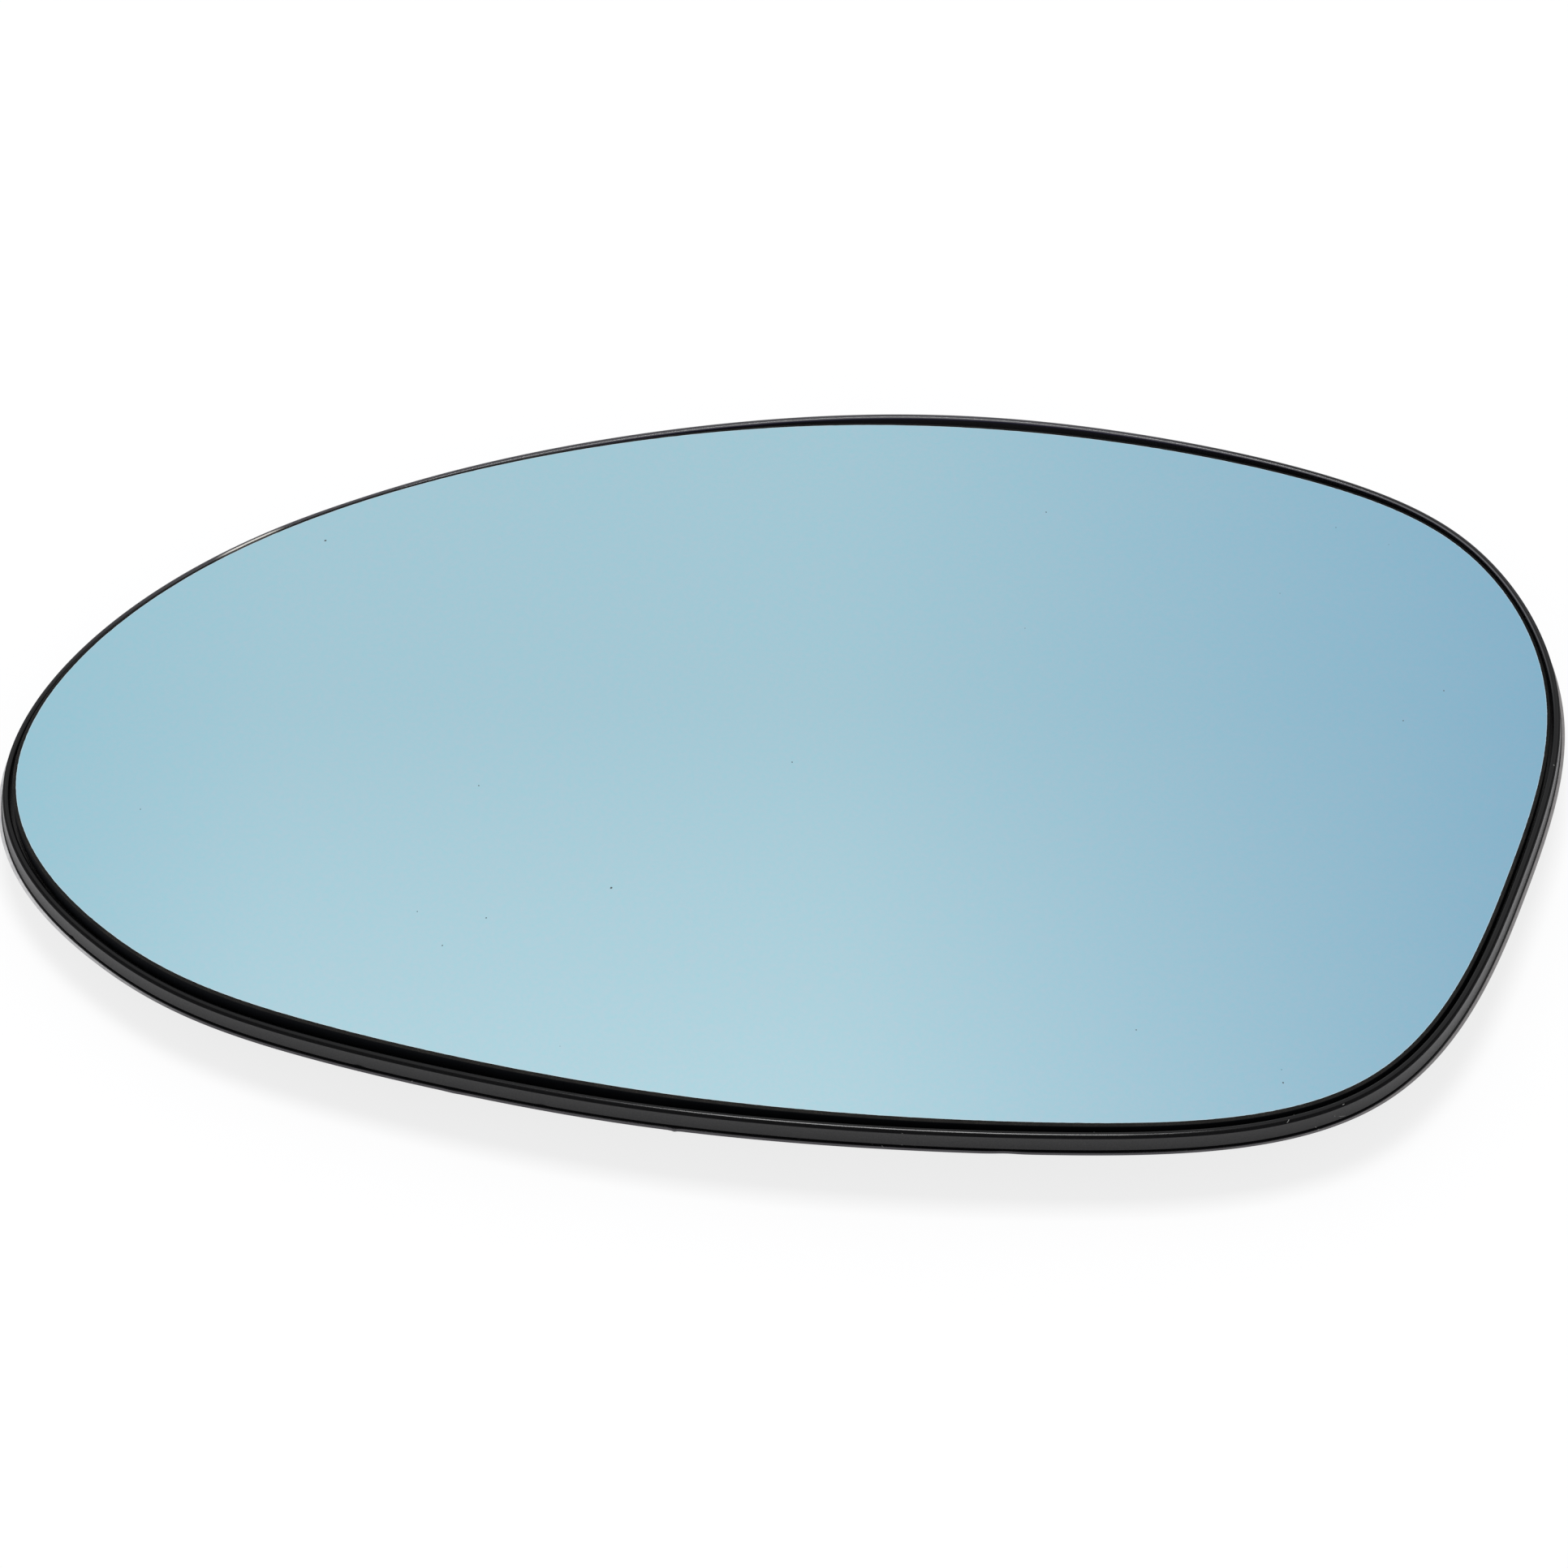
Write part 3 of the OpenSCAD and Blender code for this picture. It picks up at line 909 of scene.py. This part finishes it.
@dataclass
class CarrierMoulding:
    """The black moulding: rim with lip, wall, parting line and foot, plate, clip collar and ribs.

    A mark is a small unevenness of a band of the rim: the photograph's column and row beside it, and
    half its length, its size outward and its size upward in millimetres.
    """

    sizes: MirrorSizes
    edge: MirrorEdge
    plain_edge: MirrorEdge
    heights: MirrorHeights
    root: float = -3.0
    foot_drawn_in: float = 0.25
    ledge: float = 0.1
    inner_ease: float = 0.3
    foot_ease: float = 0.06
    within_box: float = 0.001
    bar_overlap: float = 0.4
    bar_sunk: float = 0.01
    bar_steps: int = 6
    plate_rings: int = 22
    collar_steps: int = 192
    finger_steps: int = 24
    rib_steps: int = 40
    pins: tuple[Pair, ...] = (
        (-62, 6), (-45, 25), (-43, -17), (9, 41), (9, -37), (42, 36), (37, -35), (68, 22), (67, -22),
    )
    camera: PhotoCamera = PhotoCamera()
    marks: tuple[tuple[Band, float, float, float, float, float], ...] = (
        (Band.WHOLE, 1200, 524, 24.0, 0.5, 0.0), (Band.WHOLE, 1860, 740, 18.0, -0.34, 0.0),
        (Band.WHOLE, 520, 597, 24.0, -0.17, 0.0), (Band.WHOLE, 152, 1162, 15.0, -0.2, 0.0),
        (Band.WHOLE, 750, 1340, 16.0, 0.12, 0.0), (Band.WHOLE, 1700, 620, 12.0, -0.12, 0.0),
        (Band.WHOLE, 1150, 1378, 50.0, 0.0, 0.12), (Band.WHOLE, 440, 620, 8.0, -0.08, 0.0),
        (Band.FOOT, 1150, 1417, 14.0, 0.0, 0.04), (Band.LINE, 444, 1313, 0.45, 0.0, 0.16),
        (Band.LINE, 667, 1361, 0.35, 0.0, 0.14), (Band.LINE, 89, 1154, 0.3, -0.05, 0.12),
        (Band.FOOT, 830, 1389, 0.3, 0.12, 0.0), (Band.FOOT, 1240, 1421, 1.4, -0.06, 0.03),
        (Band.FOOT, 560, 1340, 0.9, 0.04, 0.0), (Band.LIP, 1385, 1400, 2.2, 0.02, 0.02),
        (Band.LIP, 355, 1280, 1.8, 0.02, 0.015), (Band.LIP, 1358, 520, 0.4, 0.03, -0.03),
        (Band.LINE, 1911, 998, 0.25, -0.04, 0.1),
    )

    def rim_grid(self) -> tuple[Array, SweptSection]:
        """The rim's section carried once round the edge, with the marks of the moulding.

        A mark moves its band of corners by its size times e to the minus square of the distance
        along the edge over its half length.

        Returns:
            Array of samples, corners and coordinates, and the section.
        """
        s = self.sizes
        section = SweptSection()
        section.add([(self.root, s.stack + s.plate_t * 0.7), (self.root, s.stack + s.plate_t * 0.3),
                     (s.lip_in, s.stack + s.plate_t * 0.3), (s.lip_in, s.stack - 0.6)], Datum.DOME)
        whole = len(section.out)
        section.add(arc(self.inner_ease, -90, 0, 8, s.lip_in + self.inner_ease, self.inner_ease), Datum.LIP)
        # painted shade: the groove side of the lip's inner rounding gets the dull copy
        section.finish[-9:] = [PAINTED_SHADE] * 3 + [LIP_TOP] * 3 + [WORN] * 3
        rounding = len(section.out)
        section.add(arc(s.lip_outer_r, 0, 90, 10, s.lip_out - s.lip_outer_r, s.lip_outer_r), Datum.LIP)
        # painted shade: the outer rounding's band between the polished top and the satin wall gets the dull
        # copy
        section.finish[rounding:] = [POLISHED] * 3 + [PAINTED_SHADE] * 6 + [SATIN] * 2
        wall_top, wall_end = s.lip_outer_r, s.wall_h
        for share in (0.25, 0.5, 0.75, 0.92):
            height = wall_top + (wall_end - wall_top) * share
            section.add([(s.lip_out + s.wall_draft * share, height)], Datum.LIP)
        section.add([(s.wall_out - 0.06, wall_end - 0.06),
                     (s.wall_out - s.notch_d, wall_end + s.notch_h * 0.2),
                     (s.wall_out - s.notch_d, wall_end + s.notch_h * 0.9),
                     (s.wall_out, wall_end + s.notch_h)], Datum.LIP, POLISHED)
        foot = len(section.out)
        # painted reflection: the foot's outer side gets the copy that is paler towards its ends
        section.add([(s.wall_out + self.ledge, wall_end + s.notch_h + 0.02)], Datum.LIP, FOOT_REFLECTION)
        ease = self.foot_ease
        section.add(arc(ease, 60, 170, 3, s.foot_out - ease, s.foot_drop - ease), Datum.FOOT)
        section.finish[-4:-2] = [FOOT_REFLECTION] * 2
        section.add([(s.lip_in, s.stack + s.plate_t * 0.9)], Datum.DOME)
        along = self.edge.outward[:, 1:2] ** 2
        push = np.repeat(s.side_gap * along, len(section.out), axis=1)
        push[:, foot + 1:-1] -= self.foot_drawn_in * along
        lift = np.zeros_like(push)
        bands = {Band.WHOLE: slice(whole, -1), Band.LIP: slice(rounding, rounding + 6),
                 Band.LINE: slice(foot - 5, foot - 2), Band.FOOT: slice(foot, foot + 5)}
        plain = self.camera.pixels_of(section.carried(self.edge, self.heights, push)[:, foot - 4])
        for band, column, row, half_length, outward, upward in self.marks:
            away = np.abs(self.edge.travel - self.edge.travel[nearest(plain, (column, row))])
            away = np.minimum(away, self.edge.length - away)
            share = np.exp(-(away / half_length) ** 2)[:, None]
            push[:, bands[band]] += share * outward
            lift[:, bands[band]] += share * upward
        push = np.minimum(push, s.foot_out - self.within_box + s.side_gap * along - np.array(section.out))
        return section.carried(self.edge, self.heights, push, lift), section

    def rim(self) -> Shell:
        """The rim as a closed ring."""
        points, section = self.rim_grid()
        return grid_shell(points, True, True, section.finish)

    def _fall(self, count: int) -> Array:
        """Share of the way down the rim's wall: depth below the lip's rounding over the wall's height.

        Args:
            count: Number of points of the whole moulding, of which the rim's come first.

        Returns:
            One value from 0 to 1 for each point, 0 off the rim's outer side.
        """
        s = self.sizes
        points, section = self.rim_grid()
        on_lip = np.array([d is Datum.LIP for d in section.datum])
        share = np.clip((np.array(section.down) - s.lip_outer_r) / (s.wall_h - s.lip_outer_r), 0, 1) * on_lip
        return np.concatenate([np.tile(share, len(points)), np.zeros(count - points.size // 3)])

    def _window_loop(self, target: Array) -> Array:
        """Where rays from the middle of the windows to places in plan leave the windows' rectangle.

        The way to each place is scaled until it meets the nearer pair of sides, and the sample
        nearest to each corner is put on that corner.

        Args:
            target: Places in plan, one row each.

        Returns:
            Places on the rectangle, one row each.
        """
        s = self.sizes
        low = np.array([s.window_x[0], -s.window_y[1]])
        high = np.array([s.window_x[1], s.window_y[1]])
        middle, half = (low + high) / 2, (high - low) / 2
        way = target - middle
        loop = middle + way / np.max(np.abs(way) / half, axis=1, keepdims=True)
        for corner in ((low[0], low[1]), (low[0], high[1]), (high[0], low[1]), (high[0], high[1])):
            loop[nearest(loop, corner)] = corner
        return loop

    def plate(self) -> Shell:
        """The plate: a domed ring from the windows' rectangle out to its hidden edge, and a bar."""
        s = self.sizes
        outer = self.plain_edge.offset(s.bevel_w)
        inner = self._window_loop(outer)
        shares = np.linspace(0.0, 1.0, self.plate_rings)[None, :, None]
        plan = inner[:, None, :] + (outer - inner)[:, None, :] * shares
        top = self.heights.below_dome(plan, s.stack)
        under = self.heights.below_dome(plan, s.stack + s.plate_t)[:, ::-1]
        ring = grid_shell(np.concatenate([top, under], axis=1), True, True)
        return ring.joined(self._bar())

    def _bar(self) -> Shell:
        """The bar of the plate between the two windows."""
        s = self.sizes
        ends = s.window_x[1] + self.bar_overlap, s.window_x[0] - self.bar_overlap
        x = np.linspace(*ends, self.bar_steps)[:, None]
        y = np.array([[1, -1, -1, 1]]) * s.window_y[0]
        down = s.stack + np.array([[0, 0, 1, 1]]) * s.plate_t + self.bar_sunk
        return capped_shell(self.heights.below_dome(np.dstack(np.broadcast_arrays(x, y)), down))

    def _collar_profile(self, low: float, high: float) -> Array:
        """Half section of the collar between two heights: bore with snap groove, and outer side."""
        s = self.sizes
        r_in, r_out, ease = s.collar_bore_r, s.collar_bore_r + s.collar_wall, s.collar_wall * 0.25
        bore = [(r_in, s.snap_z), (r_in + s.snap_d, s.snap_z + s.snap_d / 2),
                (r_in + s.snap_d, s.snap_z + s.snap_h - s.snap_d / 2), (r_in, s.snap_z + s.snap_h)]
        side = [(r_out, 2.0), (r_out, ease)] + [
            (r_out - ease + ease * math.cos(a), ease - ease * math.sin(a)) for a in (0.52, 1.05, math.pi / 2)]
        inner = [(r_in, low)] + [p for p in bore if low < p[1] < high] + [(r_in, high)]
        outer = [(r_out, high)] + [p for p in side if low <= p[1] < high]
        if low > ease:
            outer.append((r_out, low))
        return np.array(inner + outer)

    def collar(self) -> Shell:
        """The clip collar: a full ring above its fingers, which parallel-sided slots part.

        A finger's corner at radius r starts beyond the slot's middle by the angle whose sine is
        half the slot's width over r.
        """
        s = self.sizes
        top = s.collar_h + s.plate_t / 2 - self.heights.sag(s.collar_bore_r, 0.0, s.dome_r)
        ring = self._collar_profile(s.slot_h, top)
        turn = np.linspace(0, 2 * math.pi, self.collar_steps + 1)[:-1, None]
        shell = grid_shell(self._spun(ring, turn), True, True)
        finger = self._collar_profile(0.0, s.slot_h)
        gap = np.arcsin(s.slot_w / 2 / finger[:, 0])[None, :]
        pitch = 2 * math.pi / s.slot_count
        share = np.linspace(0, 1, self.finger_steps + 1)[:, None]
        for i in range(s.slot_count):
            start = (i + 0.5) * pitch
            angle = start + gap + (pitch - 2 * gap) * share
            shell = shell.joined(capped_shell(self._spun(finger, angle)))
        return shell

    @staticmethod
    def _spun(profile: Array, angle: Array) -> Array:
        """A half section turned about Z: its radius times the cosine and the sine, and its height."""
        flat = [profile[:, 0] * np.cos(angle), profile[:, 0] * np.sin(angle)]
        return np.dstack([*flat, np.broadcast_to(profile[:, 1], flat[0].shape)])

    def _rib(self, path: Array, side: Array) -> Array:
        """Cross sections of a rib along a path: flared at the plate, rounded at its lower edge.

        Args:
            path: Places in plan along the rib's middle.
            side: Direction to its right hand at each place.

        Returns:
            Array of cross sections, corners and coordinates.
        """
        s = self.sizes
        half = s.rib_t / 2
        out = np.array([half + 0.3, half + 0.08, half, half - 0.05, half - 0.3])
        out = np.concatenate([-out[:1], out, -out[::-1][:-1]])[None, :, None]
        plan = path[:, None, :] + out * side[:, None, :]
        under = self.heights.of(plan[..., 0], plan[..., 1], Datum.DOME) - s.stack - s.plate_t
        rise = np.maximum(under - s.rib_floor, 0.3)
        share = np.array([1.0, 1.0, 0.84, 0.6, 0.16, 0.0, 0.0, 0.16, 0.6, 0.84])[None, :]
        z = s.rib_floor + rise * share
        z[:, :2] += 0.3
        return np.dstack([plan, z[..., None]])

    def ribs(self) -> Shell:
        """The ribs that run out from the collar, and the edge rib that they meet."""
        s = self.sizes
        loop = self.plain_edge.offset(-s.edge_rib_inset - s.rib_t / 2)
        shell = grid_shell(self._rib(loop, self.plain_edge.outward), True, True)
        bearing = np.unwrap(np.arctan2(loop[:, 1], loop[:, 0]))
        reach = np.linalg.norm(loop, axis=1)
        for i in range(s.rib_count):
            turn = (i + 0.5) * 2 * math.pi / s.rib_count
            away = np.abs(np.angle(np.exp(1j * (bearing - turn))))
            end = reach[np.argmin(away)]
            way = np.array([math.cos(turn), math.sin(turn)])
            path = np.linspace(s.collar_bore_r + s.collar_wall / 2, end, self.rib_steps)[:, None] * way
            side = np.tile([way[1], -way[0]], (len(path), 1))
            shell = shell.joined(capped_shell(self._rib(path, side)))
        return shell

    def build(self) -> Object:
        """Builds and dresses the moulding."""
        shell = self.rim().joined(self.plate()).joined(self.collar()).joined(self.ribs())
        # The tints given for the side away from the camera are painted reflections; the polished copy is
        # paler there.
        satin = CarrierPlastic("carrier_plastic_satin", 0.38, 0.22, 0.02, 0.36, self.pins,
                               grey=(0.014, 0.0135, 0.014), far_painted_light=(0.012, 0.012, 0.014)).made()
        polished, worn = (
            CarrierPlastic(name, 0.14, 0.2, 0.005, black=(0.004, 0.004, 0.0044), far_painted_light=(0.045, 0.044, 0.05),
                           worn=worn).made()
            for name, worn in (("carrier_plastic_polished", None),
                               ("carrier_plastic_worn", (0.66, 0.64, 0.59))))
        # painted shade: the dull copy is darker and less glossy, for the dark bands of the roundings
        dull = CarrierPlastic("carrier_plastic_painted_shade", 0.5, 0.05, 0.006, black=(0.001, 0.001, 0.001),
                              far_painted_light=(0.02, 0.018, 0.036)).made()
        finishes = [satin, polished, dull, FootReflection().made(), LipTop().made(), worn]
        piece = placed("carrier_moulding", shell, finishes, ("carrier",))
        fall = piece.data.attributes.new("fall", "FLOAT", "POINT")
        fall.data.foreach_set("value", self._fall(len(shell.points)))
        return piece


def uneven(seed: int, spread: float, count: int) -> Array:
    """Seeded factors about 1 for the corners of so many specks."""
    return np.random.default_rng(seed).uniform(1 - spread, 1 + spread, (count, SPECK_CORNERS))


def specks(tips: Array, feet: Array, rings: Array) -> Shell:
    """Low closed cones: the corners of each ring joined to a tip above it and a foot below it.

    Args:
        tips: One place for each speck.
        feet: One place for each speck.
        rings: Array of specks, corners and coordinates.

    Returns:
        The shell.
    """
    here = np.arange(SPECK_CORNERS) + 2
    after, tip = np.roll(here, -1), np.zeros_like(here)
    cone = np.stack([tip, here, after, tip + 1, after, here], axis=1).reshape(-1, 3)
    base = np.arange(len(rings))[:, None, None] * (SPECK_CORNERS + 2)
    faces = (base + cone).reshape(-1, 3).tolist()
    points = np.concatenate([tips[:, None], feet[:, None], rings], axis=1)
    return Shell(points.reshape(-1, 3), [tuple(f) for f in faces], [0] * len(faces))


@dataclass
class DustSpecks:
    """Single dark specks on the mirror face, at the places where the photograph shows them.

    A mark is the photograph's column and row and the speck's radius in pixels.
    """

    heights: MirrorHeights
    camera: PhotoCamera
    marks: tuple[Triple, ...] = (
        (753, 1094, 1.5), (401, 666, 1.3), (1581, 1334, 1.1), (599, 1131, 0.95), (1779, 851, 0.85),
        (976, 939, 0.85), (545, 1165, 0.85), (1289, 631, 0.85), (590, 968, 0.8), (1400, 1269, 0.8),
        (1729, 888, 0.8), (1646, 650, 0.7), (514, 1123, 0.7), (173, 997, 0.65), (1579, 1318, 0.65),
        (1577, 731, 0.5), (1263, 774, 0.5), (690, 1289, 0.5), (1711, 671, 0.5),
    )
    spread: float = 0.25
    taller: float = 1.1
    lift: float = 0.002
    top: float = 0.012
    foot: float = 0.02
    seed: int = 5

    def build(self) -> Object:
        """Builds the specks: flat uneven discs that lie on the dome."""
        s = self.heights.sizes
        marks = np.array(self.marks)
        centre = self.camera.on_dome(marks[:, :2], s.face_z, s.dome_r)
        radius = marks[:, 2:3] / PIXELS_PER_MM * uneven(self.seed, self.spread, len(marks))
        x = centre[:, :1] + radius * np.cos(SPECK_TURN)
        y = centre[:, 1:2] + radius * np.sin(SPECK_TURN) * self.taller
        rings = self.heights.below_dome(np.dstack([x, y]), -self.lift)
        middle = rings.mean(axis=1)
        tips = middle + np.array([0, 0, self.top])
        tips[:, 2] = np.minimum(tips[:, 2], s.face_z - 0.001)
        feet = middle - np.array([0, 0, self.foot])
        finish = DustSpeck("dark_dust", (0.03, 0.04, 0.045), (0.1, 0.12, 0.13)).made()
        return placed("dust_specks", specks(tips, feet, rings), [finish])


@dataclass
class RimSpecks:
    """Pale specks and scratches on the rim, at the places where the photograph shows them.

    A mark is the photograph's column and row, half its length and half its width in pixels, and its
    slant from the rim's direction in degrees.
    """

    carrier: CarrierMoulding
    marks: tuple[tuple[float, float, float, float, float], ...] = (
        (1348, 1393, 1.1, 1.0, 0), (1588.7, 1381.4, 2.6, 0.7, -45), (1593.3, 1369.5, 1.4, 0.7, -40),
        (1615.1, 1379.5, 1.8, 0.5, 45), (1623.5, 1377.5, 1.3, 0.8, 0), (1622, 1387.9, 1.6, 0.6, 60),
        (1623.5, 1391.7, 1.3, 0.6, 0), (1643.4, 1375.2, 1.8, 0.5, 50), (1654.5, 1375.6, 7.5, 0.6, 22),
        (1656, 1360, 2.4, 0.6, 0), (1915, 942, 1.0, 1.0, 0), (1128, 524, 0.7, 0.7, 0),
        (1134, 525, 0.6, 0.6, 0),
        (1131, 519, 0.6, 0.6, 0), (1064.7, 1408.3, 1.1, 0.9, 0), (1075.5, 1410.2, 1.2, 0.9, 0),
        (1088.3, 1412.4, 2.2, 0.5, 50), (1109.6, 1410.5, 0.8, 0.6, 0), (1126.2, 1412.4, 0.8, 0.6, 0),
        (1095.9, 1398.4, 0.8, 0.6, 0), (1112.2, 1396.8, 0.7, 0.6, 0), (1139.6, 1399.3, 0.8, 0.5, 0),
        (985, 1404, 0.9, 0.5, 0), (742, 1371, 0.6, 0.6, 0), (508, 1333, 0.8, 0.5, 0),
    )
    spread: float = 0.3
    sunk: float = 0.01
    top: float = 0.02
    foot: float = 0.03
    seed: int = 8

    def build(self) -> Object:
        """Builds the specks: each is a low uneven cone on the nearest corner of the rim's grid."""
        grid, _ = self.carrier.rim_grid()
        rows, columns = grid.shape[:2]
        seen = self.carrier.camera.pixels_of(grid.reshape(-1, 3))
        marks = np.array(self.marks)[:, None, :]
        i, j = divmod(nearest(seen, marks[..., :2]), columns)
        place = grid[i, j][:, None]
        along = unit(grid[(i + 1) % rows, j] - grid[i - 1, j])[:, None]
        across = unit(grid[i, (j + 1) % columns] - grid[i, j - 1])[:, None]
        out = unit(np.cross(across, along))
        lean = np.radians(marks[..., 4:])
        way = np.cos(lean) * along + np.sin(lean) * across
        side = np.cos(lean) * across - np.sin(lean) * along
        turn = SPECK_TURN[:, None]
        scale = uneven(self.seed, self.spread, len(marks))[..., None] / PIXELS_PER_MM
        reach = np.cos(turn) * way * marks[..., 2:3] + np.sin(turn) * side * marks[..., 3:4]
        rings = place + scale * reach - self.sunk * out
        tips, feet = (place + self.top * out)[:, 0], (place - self.foot * out)[:, 0]
        finish = DustSpeck("pale_dust", (0.1, 0.1, 0.095), (0.24, 0.24, 0.23)).made()
        return placed("rim_specks", specks(tips, feet, rings), [finish])


@dataclass(frozen=True)
class HeaterParts:
    """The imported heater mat, terminals and rivets, which keep their shapes and get real finishes."""

    def dress(self) -> None:
        """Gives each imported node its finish."""
        tin = PlainMetal("tinned_brass", (0.62, 0.62, 0.6), (0.4, 0.39, 0.36)).made()
        brass = PlainMetal("rivet_brass", (0.75, 0.6, 0.33), (0.5, 0.38, 0.2), (1.0, 1.0, 1.0)).made()
        film = HeaterFilm().made()
        finishes = {"heater_mat": film, "terminal_upper": tin, "terminal_lower": tin,
                    "rivet_upper": brass, "rivet_lower": brass}
        for name, finish in finishes.items():
            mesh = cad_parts[name].data
            mesh.materials.clear()
            mesh.materials.append(finish)
            log.info("dressed %s", name)


@dataclass(frozen=True)
class Studio:
    """Pale floor, white surroundings and one soft lamp at a plain level."""

    floor_tint: Triple = (0.86, 0.86, 0.87)
    floor_cloud: Triple = (0.83, 0.83, 0.84)
    floor_side: float = 6.0
    floor_white: float = 0.8
    ambient: float = 0.55
    key_power: float = 9.0
    key_size: float = 0.34
    key_place: Triple = (0.0, -0.05, 1.1)

    def floor(self) -> Object:
        """The floor: pale and matt, mostly plain white to the camera, and clear to it from below."""
        p = Paint("floor", "ShaderNodeMixShader")
        tint = p.mix(p.noise(0.02, 3.0), self.floor_tint, self.floor_cloud)
        matt = p.out("ShaderNodeBsdfDiffuse", {"Color": tint, "Roughness": 0.5})
        white = p.out("ShaderNodeEmission", {"Color": WHITE, "Strength": 1.0})
        seen = p.out("ShaderNodeLightPath", output="Is Camera Ray")
        beneath = p.out("ShaderNodeNewGeometry", output="Backfacing") * seen
        top = p.out("ShaderNodeMixShader", {0: seen * self.floor_white, 1: matt, 2: white})
        p.feed(p.shader, {0: beneath, 1: top, 2: p.out("ShaderNodeBsdfTransparent")})
        mesh = bpy.data.meshes.new("floor")
        corners = [(x * self.floor_side, y * self.floor_side, 0)
                   for x, y in ((-1, -1), (1, -1), (1, 1), (-1, 1))]
        mesh.from_pydata(corners, [], [(0, 1, 2, 3)])
        mesh.materials.append(p.owner)
        floor = added("floor", mesh)
        return floor

    def world(self) -> None:
        """White at strength 1 to the camera and to reflections, and a soft fill to everything else."""
        p = Paint("studio", "ShaderNodeMixShader", world=True)
        seen, glossy, through = (p.out("ShaderNodeLightPath", output=kind)
                                 for kind in ("Is Camera Ray", "Is Glossy Ray", "Is Transmission Ray"))
        fill, white = (p.out("ShaderNodeBackground", {"Color": WHITE, "Strength": strength})
                       for strength in (self.ambient, 1.0))
        p.feed(p.shader, {0: seen.math("MAXIMUM", glossy).math("MAXIMUM", through), 1: fill, 2: white})
        bpy.context.scene.world = p.owner

    def lamp(self) -> Object:
        """A square soft lamp that faces the middle of the part."""
        data = bpy.data.lights.new("key", "AREA")
        data.energy, data.size = self.key_power, self.key_size
        lamp = added("key", data)
        lamp.location = self.key_place
        lamp.rotation_euler = (-Vector(self.key_place)).to_track_quat("-Z", "Y").to_euler()
        return lamp

    @staticmethod
    def keep_off(lamp: Object, piece: Object) -> None:
        """Makes a lamp leave a piece out, so that its square does not show in the mirror from above."""
        lit = bpy.data.collections.new("lit_by_" + lamp.name)
        lit.objects.link(piece)
        lit.collection_objects[0].light_linking.link_state = "EXCLUDE"
        lamp.light_linking.receiver_collection = lit

    def build(self, mirror: Object) -> None:
        """Makes the floor, the world and the lamp.

        Args:
            mirror: The mirror glass, which shows the white surroundings and not the lamp.
        """
        self.floor()
        self.world()
        self.keep_off(self.lamp(), mirror)
        bpy.context.scene.view_settings.view_transform = "Standard"


def main() -> None:
    """Builds the sub-assemblies in order."""
    logging.basicConfig(level=logging.INFO, format="%(message)s")
    sizes = MirrorSizes()
    fine, plain, finest = (MirrorEdge(sizes, steps) for steps in (RIM_STEPS, PLATE_STEPS, GLASS_STEPS))
    heights = MirrorHeights(sizes, fine.outer_x)
    camera = PhotoCamera()
    camera.make()
    glass = MirrorGlass(sizes, finest, heights).build()
    carrier = CarrierMoulding(sizes, fine, plain, heights)
    carrier.build()
    RimSpecks(carrier).build()
    DustSpecks(heights, camera).build()
    HeaterParts().dress()
    Studio().build(glass)


if __name__ == "__main__":
    main()
